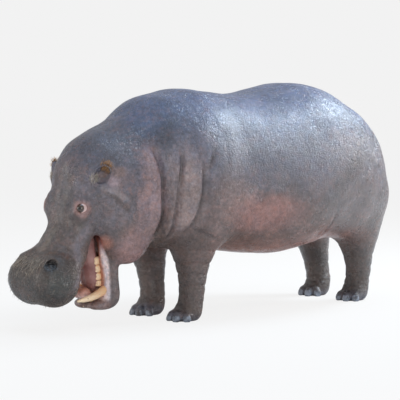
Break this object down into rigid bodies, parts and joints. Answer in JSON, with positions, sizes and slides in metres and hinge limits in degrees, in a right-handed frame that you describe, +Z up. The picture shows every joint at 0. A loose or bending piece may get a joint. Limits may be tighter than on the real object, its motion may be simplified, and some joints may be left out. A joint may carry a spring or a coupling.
{
  "type": "hippopotamus, still life-size model",
  "caption": "Life-size still model of an adult hippopotamus, standing on four feet with its head lowered and its mouth open.",
  "frame": {"origin": "on the floor, under the middle of the animal's overall box", "axes": "+Z up; the head points along -X, so the animal's left side faces -Y; Y = 0 is the plane of symmetry"},
  "size_m": [2.9677, 1.214, 1.5342],
  "materials": {
    "hide": "satin",
    "mouth": "gloss",
    "ivory": "satin",
    "nail": "satin",
    "eye": "gloss"
  },
  "bodies": {
    "root": {"trunk": "hide", "neck": "hide", "head": "hide", "lower_jaw": "hide", "tail": "hide", "tongue": "mouth", "left_ear": "hide", "left_eye": "eye", "left_tusk": "ivory", "left_foreleg": "hide", "left_forefoot": "hide", "left_fore_nail_1": "nail", "left_fore_nail_2": "nail", "left_fore_nail_3": "nail", "left_fore_nail_4": "nail", "left_hindleg": "hide", "left_hindfoot": "hide", "left_hind_nail_1": "nail", "left_hind_nail_2": "nail", "left_hind_nail_3": "nail", "left_hind_nail_4": "nail", "right_ear": "hide", "right_eye": "eye", "right_tusk": "ivory", "right_foreleg": "hide", "right_forefoot": "hide", "right_fore_nail_1": "nail", "right_fore_nail_2": "nail", "right_fore_nail_3": "nail", "right_fore_nail_4": "nail", "right_hindleg": "hide", "right_hindfoot": "hide", "right_hind_nail_1": "nail", "right_hind_nail_2": "nail", "right_hind_nail_3": "nail", "right_hind_nail_4": "nail"}
  },
  "joints": []
}
